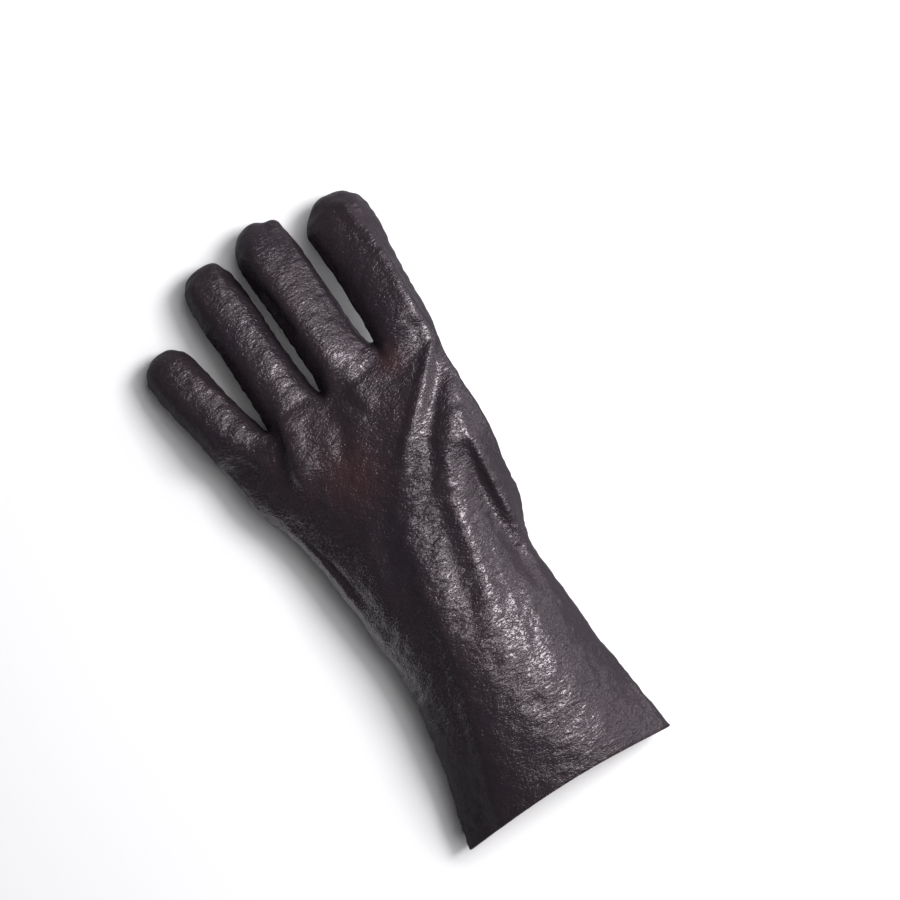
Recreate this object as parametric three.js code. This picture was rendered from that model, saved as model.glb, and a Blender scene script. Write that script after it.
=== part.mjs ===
// A PVC-coated work glove with a gauntlet cuff, for the left hand, lying back up.
// Millimetres: +Y runs from the cuff's hem to the fingertips, +X to the thumb's side, +Z up.
// The glove is drawn as a coarse cage of four-sided faces, which is smoothed once into the
// coating's outer skin. The inner skin lies one wall inside it, so the glove is hollow.
import * as THREE from "three";

// Lengths along the glove
const bodyLength = 205; // hem to the finger roots
const hemCorner = 6; // how far the hem's side corners reach past its middle
const liningReach = 62; // how far the lining shows inside the cuff

// Widths, seen from above
const cuffWidth = 110;
const wristWidth = 84.5;
const palmWidth = 114;

// Depths, seen from the side
const cuffDepth = 43;
const wristDepth = 49;
const palmDepth = 36;

// Walls and gaps
const coatWall = 1.5;
const liningWall = 0.9;
const liningGap = 0.3; // between the lining and the coating
const liningInset = 0.4; // the lining's raw edge lies this far inside the hem
const thumbGap = 2; // between the tucked thumb and the palm above it

// The thumb, tucked under the palm
const thumbWidth = 26;
const thumbDepth = 23;
const thumbReach = 72;

// The longest finger
const fingerReach = 88.5; // past its root
const fingerWidth = 28.8;
const fingerDepth = 24.5;

// A finger: shares of those, its splay from the glove's axis in degrees to the thumb's side, how
// late it bends down to the ground, and how wide its tip is.
const fingers = [
  { name: "pinky", reach: 0.695 * fingerReach, width: 0.882 * fingerWidth,
    depth: 0.898 * fingerDepth, splay: -11.8, bend: 1.5, knob: 0.96 },
  { name: "ring", reach: 0.955 * fingerReach, width: 0.913 * fingerWidth,
    depth: 0.959 * fingerDepth, splay: -2.6, bend: 1.6, knob: 0.99 },
  { name: "middle", reach: fingerReach, width: fingerWidth,
    depth: fingerDepth, splay: -3, bend: 1.7, knob: 0.99 },
  { name: "index", reach: 0.915 * fingerReach, width: 0.993 * fingerWidth,
    depth: 1.02 * fingerDepth, splay: 2, bend: 1.8, knob: 1.11 },
];
const tipRest = 0.34; // height of a fingertip's middle above the ground, as a share of its depth

// Rings of a finger: at is a share of its reach, wide and deep of its width and depth.
const fingerRings = [
  { at: 0.13, wide: 1.0, deep: 1.03 },
  { at: 0.34, wide: 0.97, deep: 1.0 },
  { at: 0.56, wide: 0.99, deep: 1.0 },
  { at: 0.76, wide: 1.02, deep: 0.98 },
  { at: 0.895, wide: 0.97, deep: 0.93 },
  { at: 0.98, wide: 0.6, deep: 0.58 },
];
const tipAt = 1.035; // the cage's end point, which the smoothing draws back to the tip

// Sections of the body, from the hem to the finger roots. along is a share of bodyLength, middle
// of palmWidth; width is the section's own; left and right are the heights of its side edges, top
// its rise over them, under and underRight its drop below them at the left and the thumb's side;
// edge shapes its sides, from 0.5 for round to 1 for creased.
const prop = thumbDepth + thumbGap; // the tucked thumb holds the palm's underside this high
const bodySections = [
  { along: 0.011, width: cuffWidth, middle: -0.001,
    left: 0.3 * cuffDepth, right: 0.33 * cuffDepth, top: 0.7 * cuffDepth,
    under: 0.52 * cuffDepth, underRight: 0.54 * cuffDepth, edge: 0.85 },
  { along: 0.063, width: 0.955 * cuffWidth, middle: 0.005,
    left: 0.32 * cuffDepth, right: 0.35 * cuffDepth, top: 0.74 * cuffDepth,
    under: 0.52 * cuffDepth, underRight: 0.54 * cuffDepth, edge: 0.8 },
  { along: 0.127, width: 0.903 * cuffWidth, middle: 0.012,
    left: 0.35 * cuffDepth, right: 0.38 * cuffDepth, top: 0.76 * cuffDepth,
    under: 0.52 * cuffDepth, underRight: 0.54 * cuffDepth, edge: 0.72 },
  { along: 0.205, width: 0.848 * cuffWidth, middle: 0.02,
    left: 0.38 * cuffDepth, right: 0.43 * cuffDepth, top: 0.78 * cuffDepth,
    under: 0.52 * cuffDepth, underRight: 0.55 * cuffDepth, edge: 0.64 },
  { along: 0.283, width: 1.045 * wristWidth, middle: 0.028,
    left: 0.36 * wristDepth, right: 0.42 * wristDepth, top: 0.64 * wristDepth,
    under: 0.46 * wristDepth, underRight: 0.48 * wristDepth, edge: 0.58 },
  { along: 0.361, width: 1.014 * wristWidth, middle: 0.031,
    left: 0.38 * wristDepth, right: 0.46 * wristDepth, top: 0.61 * wristDepth,
    under: 0.42 * wristDepth, underRight: 0.52 * wristDepth, edge: 0.54 },
  { along: 0.43, width: wristWidth, middle: 0.029,
    left: 0.38 * wristDepth, right: 0.48 * wristDepth, top: 0.6 * wristDepth,
    under: 0.4 * wristDepth, underRight: 0.52 * wristDepth, edge: 0.52 },
  { along: 0.493, width: wristWidth, middle: 0.015,
    left: 0.36 * wristDepth, right: 0.5 * wristDepth, top: 0.6 * wristDepth,
    under: 0.37 * wristDepth, underRight: 0.52 * wristDepth, edge: 0.52 },
  { along: 0.551, width: 0.778 * palmWidth, middle: 0.028,
    left: 0.36 * wristDepth, right: 0.5 * wristDepth, top: 0.6 * wristDepth,
    under: 0.34 * wristDepth, underRight: 0.5 * wristDepth, edge: 0.5, thumb: true },
  { along: 0.61, width: 0.84 * palmWidth, middle: 0.048,
    left: 0.36 * wristDepth, right: 0.54 * wristDepth, top: 0.58 * wristDepth,
    under: 0.3 * wristDepth, underRight: 0.4 * wristDepth, edge: 0.52, thumb: true },
  { along: 0.683, width: 0.854 * palmWidth, middle: 0.041,
    left: 0.47 * palmDepth, right: prop + 0.26 * palmDepth, top: 0.66 * palmDepth,
    under: 0.36 * palmDepth, underRight: 0.12 * palmDepth, edge: 0.5, thumb: true },
  { along: 0.756, width: 0.904 * palmWidth, middle: 0.048,
    left: 0.48 * palmDepth, right: prop + 0.45 * palmDepth, top: 0.57 * palmDepth,
    under: 0.36 * palmDepth, underRight: 0.37 * palmDepth, edge: 0.5 },
  { along: 0.82, width: 0.943 * palmWidth, middle: 0.033,
    left: 0.5 * palmDepth, right: prop + 0.52 * palmDepth, top: 0.52 * palmDepth,
    under: 0.38 * palmDepth, underRight: 0.42 * palmDepth, edge: 0.5 },
  { along: 0.883, width: 0.98 * palmWidth, middle: 0.01,
    left: 0.52 * palmDepth, right: prop + 0.52 * palmDepth, top: 0.47 * palmDepth,
    under: 0.38 * palmDepth, underRight: 0.4 * palmDepth, edge: 0.5 },
  { along: 0.946, width: 0.996 * palmWidth, middle: 0.002,
    left: 0.52 * palmDepth, right: prop + 0.47 * palmDepth, top: 0.42 * palmDepth,
    under: 0.36 * palmDepth, underRight: 0.38 * palmDepth, edge: 0.5 },
  { along: 1, width: 1.022 * palmWidth, middle: 0.002,
    left: 0.5 * palmDepth, right: prop + 0.38 * palmDepth, top: 0.38 * palmDepth,
    under: 0.34 * palmDepth, underRight: 0.36 * palmDepth, edge: 0.5 },
];

const hemEnd = 0.3; // share of the body where the sections are straight again

// Places of the nine cage columns across a section, as shares of its width: evenly over the cuff,
// and at the finger gaps and the fingers' middles at the roots.
const evenColumns = [0.04, 0.15, 0.27, 0.385, 0.5, 0.615, 0.73, 0.85, 0.96];
const rootColumns = [0.03, 0.115, 0.235, 0.36, 0.487, 0.63, 0.775, 0.89, 0.975];
const columnsTurnAt = 0.72; // share of the body where the columns start to turn to the fingers
// How far the cage of each finger gap lies past the finger roots, as shares of bodyLength
const gapPast = [0, 0.03, 0.1];

// The thumb grows out of the last two columns of the underside, at the sections marked thumb.
const thumbSplay = -4; // degrees, towards the fingers' side

// Folds of the skin, from one place to another: across is a share of palmWidth, along of
// bodyLength, width of palmWidth and height of palmDepth. side is 1 on the back, -1 on the palm.
const folds = [
  { side: 1, from: [0.4, 0.98], to: [0.1, 0.78], width: 0.085, height: 0.09 }, // index bone
  { side: 1, from: [0.2, 0.76], to: [0.13, 0.44], width: 0.075, height: -0.11 }, // wrist furrow
  { side: 1, from: [0.27, 0.66], to: [0.23, 0.42], width: 0.07, height: 0.05 }, // beside it
  { side: 1, from: [0.35, 0.66], to: [0.36, 0.44], width: 0.06, height: -0.1 }, // thumb side
  { side: 1, from: [-0.1, 0.75], to: [-0.24, 0.56], width: 0.08, height: 0.05 }, // little side
  { side: 1, from: [-0.37, 0.76], to: [-0.29, 0.57], width: 0.06, height: -0.1 }, // heel crease
  { side: 1, from: [-0.13, 0.26], to: [-0.01, 0.34], width: 0.1, height: -0.05 }, // cuff dents
  { side: 1, from: [0.06, 0.2], to: [0.14, 0.13], width: 0.1, height: -0.05 },
  { side: -1, from: [-0.3, 0.86], to: [0.1, 0.74], width: 0.09, height: -0.08 }, // palm lines
  { side: -1, from: [-0.34, 0.76], to: [-0.02, 0.6], width: 0.09, height: -0.08 },
  { side: -1, from: [-0.2, 0.6], to: [-0.24, 0.44], width: 0.08, height: 0.05 },
];

const degrees = Math.PI / 180;
const columnCount = evenColumns.length;
const ringPoints = 2 * columnCount + 2; // the columns above and below, and two side edges
const top = (column) => 1 + column;
const under = (column) => ringPoints - 1 - column;
const lerp = THREE.MathUtils.lerp;
// An eight-sided cage ring is smoothed to a circle this much smaller than itself.
const ringSwell = 3 / (2 + Math.cos(Math.PI / 4));

// The cage: points, and four-sided faces that run anticlockwise seen from outside.
const cage = { points: [], faces: [] };

function addPoint(x, y, z) {
  return cage.points.push(new THREE.Vector3(x, y, z)) - 1;
}

// Joins two rings of points with a band of faces.
function addBand(near, far) {
  for (let i = 0; i < near.length; i++) {
    const next = (i + 1) % near.length;
    cage.faces.push([near[i], near[next], far[next], far[i]]);
  }
}

// One ring of the body, from the left edge over the back to the right edge and under the palm.
function bodyRing(section) {
  const left = section.middle * palmWidth - section.width / 2;
  const turned = THREE.MathUtils.smoothstep(section.along, columnsTurnAt, 1);
  const columns = evenColumns.map((even, i) => lerp(even, rootColumns[i], turned));
  const y = section.along * bodyLength;
  const hemSweep = hemCorner * Math.max(1 - section.along / hemEnd, 0);
  const swept = (across) => y - hemSweep * across * across;
  const place = (share, face) => {
    const across = 2 * share - 1;
    const arch = Math.pow(1 - across * across, section.edge);
    const drop = lerp(section.under, section.underRight, share);
    const height = lerp(section.left, section.right, share);
    const z = face > 0 ? height + section.top * arch : height - drop * arch;
    return addPoint(left + share * section.width, swept(across), Math.max(z, 0));
  };
  // The smoothing pulls a side edge in by a third of the first column's inset, so it starts
  // that much further out.
  const spare = (columns[0] * section.width) / 3;
  return [
    addPoint(left - spare, swept(1), section.left),
    ...columns.map((share) => place(share, 1)),
    addPoint(left + section.width + spare, swept(1), section.right),
    ...columns.map((share) => place(share, -1)).reverse(),
  ];
}

// Carries a ring of eight points on as a finger that sinks to the ground, and closes its tip.
function addFinger(base, finger, root) {
  const ahead = new THREE.Vector3(
    Math.sin(finger.splay * degrees), Math.cos(finger.splay * degrees), 0);
  const aside = new THREE.Vector3(ahead.y, -ahead.x, 0);
  const rest = finger.depth * tipRest;
  const axisAt = (at) => root.clone()
    .addScaledVector(ahead, finger.reach * at)
    .setZ(lerp(root.z, rest, Math.pow(Math.min(at, 1), finger.bend)));
  let last = base;
  for (const ring of fingerRings) {
    const centre = axisAt(ring.at);
    const heading = axisAt(ring.at + 0.02).sub(axisAt(ring.at - 0.02)).normalize();
    const up = new THREE.Vector3().crossVectors(aside, heading);
    const knob = lerp(1, finger.knob, THREE.MathUtils.smoothstep(ring.at, 0.5, 0.8));
    const halfWide = (finger.width * ring.wide * knob * ringSwell) / 2;
    const halfDeep = (finger.depth * ring.deep * ringSwell) / 2;
    const points = base.map((_, i) => {
      const turn = Math.PI - (i * Math.PI) / 4;
      const p = centre.clone()
        .addScaledVector(aside, halfWide * Math.cos(turn))
        .addScaledVector(up, halfDeep * Math.sin(turn));
      return addPoint(p.x, p.y, p.z);
    });
    addBand(last, points);
    last = points;
  }
  const tip = axisAt(tipAt);
  const end = addPoint(tip.x, tip.y, tip.z);
  for (let i = 0; i < last.length; i += 2) {
    cage.faces.push([last[i], last[i + 1], last[(i + 2) % last.length], end]);
  }
}

function buildCage() {
  const rings = bodySections.map(bodyRing);
  for (let j = 1; j < rings.length; j++) {
    addBand(rings[j - 1], rings[j]);
  }
  // The thumb replaces a block of two by two faces of the underside.
  const [outer, mid, inner] = [under(8), under(7), under(6)];
  const [low, half, high] = rings.filter((_, j) => bodySections[j].thumb);
  const faceAt = (far, i) => (rings.indexOf(far) - 1) * ringPoints + i;
  const removed = new Set([
    faceAt(half, outer), faceAt(half, mid), faceAt(high, outer), faceAt(high, mid)]);
  cage.faces = cage.faces.filter((_, i) => !removed.has(i));
  const thumbBase = [
    half[inner], high[inner], high[mid], high[outer],
    half[outer], low[outer], low[mid], low[inner]];
  const thumbRoot = cage.points[half[mid]].clone().setZ(thumbDepth / 2);
  const thumb = {
    reach: thumbReach, width: thumbWidth, depth: thumbDepth,
    splay: thumbSplay, bend: 1, knob: 0.96 };
  addFinger(thumbBase, thumb, thumbRoot);

  // Each finger takes three columns of the last ring; neighbours share a gap point.
  const roots = rings[rings.length - 1];
  const gaps = gapPast.map((past, m) => {
    const above = cage.points[roots[top(2 * m + 2)]];
    const below = cage.points[roots[under(2 * m + 2)]];
    const middle = above.clone().add(below).multiplyScalar(0.5);
    return addPoint(middle.x, bodyLength * (1 + past), middle.z);
  });
  fingers.forEach((finger, m) => {
    const [a, b, c] = [2 * m, 2 * m + 1, 2 * m + 2];
    const leftEdge = m === 0 ? roots[0] : gaps[m - 1];
    const rightEdge = m === fingers.length - 1 ? roots[columnCount + 1] : gaps[m];
    const base = [
      leftEdge, roots[top(a)], roots[top(b)], roots[top(c)],
      rightEdge, roots[under(c)], roots[under(b)], roots[under(a)]];
    const root = cage.points[roots[top(b)]].clone()
      .add(cage.points[roots[under(b)]]).multiplyScalar(0.5);
    addFinger(base, finger, root);
  });
}

const edgeKey = (a, b) => (a < b ? `${a},${b}` : `${b},${a}`);
const average = (list) =>
  list.reduce((sum, p) => sum.add(p), new THREE.Vector3()).divideScalar(list.length);

// The mesh with only these faces, and without the points they don't use.
function withFaces(mesh, kept) {
  const used = [...new Set(kept.flat())];
  const renamed = new Map(used.map((old, i) => [old, i]));
  const points = used.map((i) => mesh.points[i]);
  const faces = kept.map((face) => face.map((i) => renamed.get(i)));
  return { mesh: { points, faces }, used };
}

// Every edge with its two ends and the faces on it.
function edgesOf(mesh) {
  const edges = new Map();
  mesh.faces.forEach((face, f) => {
    face.forEach((a, i) => {
      const b = face[(i + 1) % face.length];
      const key = edgeKey(a, b);
      if (!edges.has(key)) {
        edges.set(key, { ends: [a, b], faces: [] });
      }
      edges.get(key).faces.push(f);
    });
  });
  return edges;
}

// One step of Catmull-Clark smoothing: each face becomes four.
function subdivide(mesh) {
  const edges = edgesOf(mesh);
  const faceMiddles = mesh.faces.map((face) => average(face.map((i) => mesh.points[i])));
  const touching = mesh.points.map(() => ({ faces: [], edges: [], rim: [] }));
  mesh.faces.forEach((face, f) => face.forEach((i) => touching[i].faces.push(faceMiddles[f])));
  for (const edge of edges.values()) {
    const [a, b] = edge.ends.map((i) => mesh.points[i]);
    edge.middle = average([a, b]);
    edge.ends.forEach((i) => {
      touching[i].edges.push(edge.middle);
      if (edge.faces.length === 1) {
        touching[i].rim.push(edge.middle);
      }
    });
  }
  const points = mesh.points.map((p, i) => {
    const { faces, edges: around, rim } = touching[i];
    if (rim.length) {
      return p.clone().add(average(rim)).multiplyScalar(0.5);
    }
    const n = around.length;
    return average(faces).add(average(around).multiplyScalar(2))
      .addScaledVector(p, n - 3).divideScalar(n);
  });
  const middleAt = faceMiddles.map((p) => points.push(p.clone()) - 1);
  for (const edge of edges.values()) {
    const ends = edge.ends.map((i) => mesh.points[i]);
    const inside = edge.faces.length === 2 ? edge.faces.map((f) => faceMiddles[f]) : [];
    edge.at = points.push(average([...ends, ...inside])) - 1;
  }
  const faces = mesh.faces.flatMap((face, f) => face.map((corner, i) => {
    const next = face[(i + 1) % face.length];
    const before = face[(i + face.length - 1) % face.length];
    return [
      corner, edges.get(edgeKey(corner, next)).at,
      middleAt[f], edges.get(edgeKey(before, corner)).at];
  }));
  return { points, faces };
}

// Moves every point to where endless smoothing would take it.
function toLimit(mesh) {
  const edges = [...edgesOf(mesh).values()];
  const near = mesh.points.map(() => ({ edge: [], corner: [], rim: [] }));
  for (const edge of edges) {
    const [a, b] = edge.ends;
    near[a].edge.push(mesh.points[b]);
    near[b].edge.push(mesh.points[a]);
    if (edge.faces.length === 1) {
      near[a].rim.push(mesh.points[b]);
      near[b].rim.push(mesh.points[a]);
    }
  }
  for (const face of mesh.faces) {
    face.forEach((i, k) => near[i].corner.push(mesh.points[face[(k + 2) % 4]]));
  }
  const points = mesh.points.map((p, i) => {
    const { edge, corner, rim } = near[i];
    if (rim.length) {
      return p.clone().multiplyScalar(4).add(rim[0]).add(rim[1]).divideScalar(6);
    }
    const n = edge.length;
    return p.clone().multiplyScalar(n * n)
      .addScaledVector(average(edge), 4 * n)
      .addScaledVector(average(corner), n)
      .divideScalar(n * (n + 5));
  });
  return { points, faces: mesh.faces };
}

// The outward direction at every point, level with the hem at the hem itself.
function normalsOf(mesh) {
  const normals = mesh.points.map(() => new THREE.Vector3());
  for (const [a, b, c, d] of mesh.faces) {
    const p = mesh.points;
    const across = p[c].clone().sub(p[a]).cross(p[d].clone().sub(p[b]));
    [a, b, c, d].forEach((i) => normals[i].add(across));
  }
  for (const edge of edgesOf(mesh).values()) {
    if (edge.faces.length === 1) {
      edge.ends.forEach((i) => normals[i].setY(0));
    }
  }
  return normals.map((n) => n.normalize());
}

// Pushes the skin out along each ridge and in along each furrow.
function raiseFolds(mesh) {
  const normals = normalsOf(mesh);
  const offsets = mesh.points.map((p, i) => folds.reduce((sum, fold) => {
    const from = new THREE.Vector2(fold.from[0] * palmWidth, fold.from[1] * bodyLength);
    const to = new THREE.Vector2(fold.to[0] * palmWidth, fold.to[1] * bodyLength);
    const line = to.clone().sub(from);
    const here = new THREE.Vector2(p.x, p.y).sub(from);
    const share = THREE.MathUtils.clamp(here.dot(line) / line.lengthSq(), 0, 1);
    const away = here.distanceTo(line.multiplyScalar(share)) / (fold.width * palmWidth);
    const facing = Math.max(fold.side * normals[i].z, 0);
    return sum + fold.height * palmDepth * facing * Math.exp(-away * away);
  }, 0));
  mesh.points.forEach((p, i) => p.addScaledVector(normals[i], offsets[i]));
  return mesh;
}

// A closed solid between the skin set in by near and the skin set in by far, each lying no lower
// than its own depth over the ground, joined round their open rims.
function shellBetween(skin, normals, near, far, inset = () => 0) {
  const layer = (depth) => skin.points.map((p, i) => {
    const q = p.clone().addScaledVector(normals[i], -depth);
    return q.setZ(Math.max(q.z, depth)).setY(q.y + inset(p));
  });
  const count = skin.points.length;
  const points = [...layer(near), ...layer(far)];
  const triangles = [];
  for (const [a, b, c, d] of skin.faces) {
    triangles.push(a, b, c, a, c, d);
    triangles.push(a + count, c + count, b + count, a + count, d + count, c + count);
  }
  for (const edge of edgesOf(skin).values()) {
    if (edge.faces.length === 1) {
      const face = skin.faces[edge.faces[0]];
      const [first, second] = edge.ends;
      const along = face[(face.indexOf(first) + 1) % 4] === second;
      const [a, b] = along ? [first, second] : [second, first];
      triangles.push(b, a, a + count, b, a + count, b + count);
    }
  }
  const geometry = new THREE.BufferGeometry();
  geometry.setAttribute(
    "position",
    new THREE.Float32BufferAttribute(points.flatMap((p) => p.toArray()), 3));
  geometry.setIndex(triangles);
  geometry.computeVertexNormals();
  return geometry;
}

// The part of the skin round the cuff, from the hem to the lining's inner end.
function cuffSkin(skin, normals) {
  const middleY = (face) => average(face.map((i) => skin.points[i])).y;
  const kept = skin.faces.filter((face) => middleY(face) < liningReach);
  const { mesh, used } = withFaces(skin, kept);
  return { skin: mesh, normals: used.map((i) => normals[i]) };
}

const coatingMaterial = new THREE.MeshStandardMaterial({
  color: 0x17151a, roughness: 0.32, metalness: 0 });
const liningMaterial = new THREE.MeshStandardMaterial({
  color: 0xa98f74, roughness: 0.95, metalness: 0 });

function namedMesh(name, geometry, material) {
  const mesh = new THREE.Mesh(geometry, material);
  mesh.name = name;
  return mesh;
}

function buildGlove() {
  buildCage();
  const skin = raiseFolds(toLimit(subdivide(withFaces(cage, cage.faces).mesh)));
  const normals = normalsOf(skin);
  const cuff = cuffSkin(skin, normals);
  const liningNear = coatWall + liningGap;
  const setBack = (p) => liningInset * (1 - p.y / liningReach);
  const glove = new THREE.Group();
  glove.add(namedMesh("coating", shellBetween(skin, normals, 0, coatWall), coatingMaterial));
  glove.add(namedMesh(
    "lining",
    shellBetween(cuff.skin, cuff.normals, liningNear, liningNear + liningWall, setBack),
    liningMaterial));
  // The origin lies on the ground under the middle of the glove.
  const box = new THREE.Box3().setFromObject(glove);
  const middle = box.getCenter(new THREE.Vector3());
  glove.position.set(-middle.x, -middle.y, -box.min.z);
  return glove;
}

export default buildGlove();
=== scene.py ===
import math

import bpy
import numpy as np
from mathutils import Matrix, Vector, noise


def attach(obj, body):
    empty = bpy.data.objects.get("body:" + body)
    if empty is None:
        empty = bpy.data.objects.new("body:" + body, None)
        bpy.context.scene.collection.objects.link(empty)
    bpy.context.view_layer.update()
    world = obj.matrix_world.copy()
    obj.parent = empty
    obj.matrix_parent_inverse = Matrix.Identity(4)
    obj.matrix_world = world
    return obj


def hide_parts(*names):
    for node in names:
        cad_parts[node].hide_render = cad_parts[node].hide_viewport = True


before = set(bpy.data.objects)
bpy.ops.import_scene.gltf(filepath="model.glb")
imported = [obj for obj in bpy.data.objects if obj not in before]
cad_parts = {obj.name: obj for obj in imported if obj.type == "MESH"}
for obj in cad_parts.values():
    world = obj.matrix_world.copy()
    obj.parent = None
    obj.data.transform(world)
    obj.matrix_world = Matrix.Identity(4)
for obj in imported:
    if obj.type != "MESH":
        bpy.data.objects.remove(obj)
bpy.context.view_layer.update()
mm = 0.001
print("frame loaded")

# The glove is drawn in its own hand frame: +Y from the hem to the fingertips, +X to the thumb's
# side, the hem's middle at 0. All sizes here are millimetres until the mesh is made.
hand = {
    "bodyLength": 205,  # hem to the finger roots
    "hemCorner": 6,  # how far the hem's side corners reach past its middle
    "hemEnd": 0.3,  # share of the body where the sections are straight again
    "cuffWidth": 110,
    "palmWidth": 114,
    "cuffDepth": 43,
    "wristDepth": 49,
    "palmDepth": 36,
    "thumbWidth": 26,
    "thumbDepth": 23,
    "thumbReach": 72,
    "thumbSplay": -4,
    "thumbBend": 1,  # it sinks evenly
    "thumbTip": 0.96,
    "thumbGap": 2,
    "tipRest": 0.34,  # height of a fingertip's middle, as a share of its depth
    "tipAt": 1.035,
    "smoothing": 3,  # levels of subdivision
}

# reach, width, depth, splay in degrees, lateness of the bend, width of the tip
fingerSizes = {
    "pinky": (61.5, 25.4, 22, -11.8, 1.5, 0.96),
    "ring": (84.5, 26.3, 23.5, -2.6, 1.6, 0.99),
    "middle": (88.5, 28.8, 24.5, -3, 1.7, 0.99),
    "index": (81, 28.6, 25, 2, 1.8, 1.11),
}
digitNumber = {"body": 0, "pinky": 1, "ring": 2, "middle": 3, "index": 4, "thumb": 5}
digitStep = 100  # a face's UVs carry its digit's number times this

# where a finger's rings lie on its reach, and their share of its width and depth
fingerRings = [
    (0.13, 1.0, 1.03),
    (0.34, 0.97, 1.0),
    (0.56, 0.99, 1.0),
    (0.76, 1.02, 0.98),
    (0.895, 0.97, 0.93),
    (0.98, 0.6, 0.58),
]

cuffD, wristD, palmD = hand["cuffDepth"], hand["wristDepth"], hand["palmDepth"]
prop = hand["thumbDepth"] + hand["thumbGap"]  # the thumb holds the palm up this high

# along the body, width, middle, heights of the left and right edges, rise of the top, drop of
# the underside at the left and the right, and the roundness of the sides
bodySections = [
    (0.011, 110, -0.001, 0.3 * cuffD, 0.33 * cuffD, 0.7 * cuffD, 0.52 * cuffD, 0.54 * cuffD, 0.85),
    (0.063, 105, 0.005, 0.32 * cuffD, 0.35 * cuffD, 0.74 * cuffD, 0.52 * cuffD, 0.54 * cuffD, 0.8),
    (0.127, 99.3, 0.012, 0.35 * cuffD, 0.38 * cuffD, 0.76 * cuffD, 0.52 * cuffD, 0.54 * cuffD, 0.72),
    (0.205, 93.3, 0.02, 0.38 * cuffD, 0.43 * cuffD, 0.78 * cuffD, 0.52 * cuffD, 0.55 * cuffD, 0.64),
    (0.283, 88.3, 0.028, 0.36 * wristD, 0.42 * wristD, 0.64 * wristD, 0.46 * wristD, 0.48 * wristD, 0.58),
    (0.361, 85.7, 0.031, 0.38 * wristD, 0.46 * wristD, 0.61 * wristD, 0.42 * wristD, 0.52 * wristD, 0.54),
    (0.43, 84.5, 0.029, 0.38 * wristD, 0.48 * wristD, 0.6 * wristD, 0.4 * wristD, 0.52 * wristD, 0.52),
    (0.493, 84.5, 0.015, 0.36 * wristD, 0.5 * wristD, 0.6 * wristD, 0.37 * wristD, 0.52 * wristD, 0.52),
    (0.551, 88.7, 0.028, 0.36 * wristD, 0.5 * wristD, 0.6 * wristD, 0.34 * wristD, 0.5 * wristD, 0.5),
    (0.61, 95.8, 0.048, 0.36 * wristD, 0.54 * wristD, 0.58 * wristD, 0.3 * wristD, 0.4 * wristD, 0.52),
    (0.683, 97.4, 0.041, 0.47 * palmD, prop + 0.26 * palmD, 0.66 * palmD, 0.36 * palmD, 0.12 * palmD, 0.5),
    (0.756, 103.1, 0.048, 0.48 * palmD, prop + 0.45 * palmD, 0.57 * palmD, 0.36 * palmD, 0.37 * palmD, 0.5),
    (0.82, 107.5, 0.033, 0.5 * palmD, prop + 0.52 * palmD, 0.52 * palmD, 0.38 * palmD, 0.42 * palmD, 0.5),
    (0.883, 111.7, 0.01, 0.52 * palmD, prop + 0.52 * palmD, 0.47 * palmD, 0.38 * palmD, 0.4 * palmD, 0.5),
    (0.946, 113.5, 0.002, 0.52 * palmD, prop + 0.47 * palmD, 0.42 * palmD, 0.36 * palmD, 0.38 * palmD, 0.5),
    (1.0, 116.5, 0.002, 0.5 * palmD, prop + 0.38 * palmD, 0.38 * palmD, 0.34 * palmD, 0.36 * palmD, 0.5),
]
thumbSections = (8, 9, 10)  # the thumb grows out of the underside across these

# shares of a section's width where the cage's columns lie, on the cuff and at the finger roots
evenColumns = [0.04, 0.15, 0.27, 0.385, 0.5, 0.615, 0.73, 0.85, 0.96]
rootColumns = [0.03, 0.115, 0.235, 0.36, 0.487, 0.63, 0.775, 0.89, 0.975]
columnsTurnAt = 0.72
gapPast = [0, 0.03, 0.1]  # how far each finger gap lies past the roots
columnCount = len(evenColumns)
ringPoints = 2 * columnCount + 2
ringSwell = 3 / (2 + math.cos(math.pi / 4))  # smoothing shrinks an eight-sided ring by this

cage = {"points": [], "faces": [], "uvs": []}


def smoothStep(value, low, high):
    share = min(max((value - low) / (high - low), 0), 1)
    return share * share * (3 - 2 * share)


def lerp(a, b, share):
    return a + (b - a) * share


def topOf(column):
    return 1 + column


def underOf(column):
    return ringPoints - 1 - column


def addPoint(x, y, z):
    cage["points"].append(Vector((x, y, z)))
    return len(cage["points"]) - 1


def addFace(corners, places, digit):
    cage["faces"].append(corners)
    cage["uvs"].append([(u + digitStep * digitNumber[digit], v) for u, v in places])


def addBand(near, far, station, digit):
    for i in range(len(near)):
        after = (i + 1) % len(near)
        addFace(
            [near[i], near[after], far[after], far[i]],
            [(i, station), (i + 1, station), (i + 1, station + 1), (i, station + 1)],
            digit,
        )


def bodyRing(section):
    along, width, middle, leftZ, rightZ, rise, under, underRight, edge = section
    left = middle * hand["palmWidth"] - width / 2
    turned = smoothStep(along, columnsTurnAt, 1)
    columns = [lerp(a, b, turned) for a, b in zip(evenColumns, rootColumns)]
    y = along * hand["bodyLength"]
    sweep = hand["hemCorner"] * max(1 - along / hand["hemEnd"], 0)

    def place(share, face):
        across = 2 * share - 1
        arch = (1 - across * across) ** edge
        height = lerp(leftZ, rightZ, share)
        z = height + rise * arch if face > 0 else height - lerp(under, underRight, share) * arch
        return addPoint(left + share * width, y - sweep * across * across, max(z, 0))

    spare = columns[0] * width / 3  # the smoothing pulls a side edge in by this much
    ring = [addPoint(left - spare, y - sweep, leftZ)]
    ring += [place(share, 1) for share in columns]
    ring += [addPoint(left + width + spare, y - sweep, rightZ)]
    ring += [place(share, -1) for share in columns][::-1]
    return ring


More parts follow.
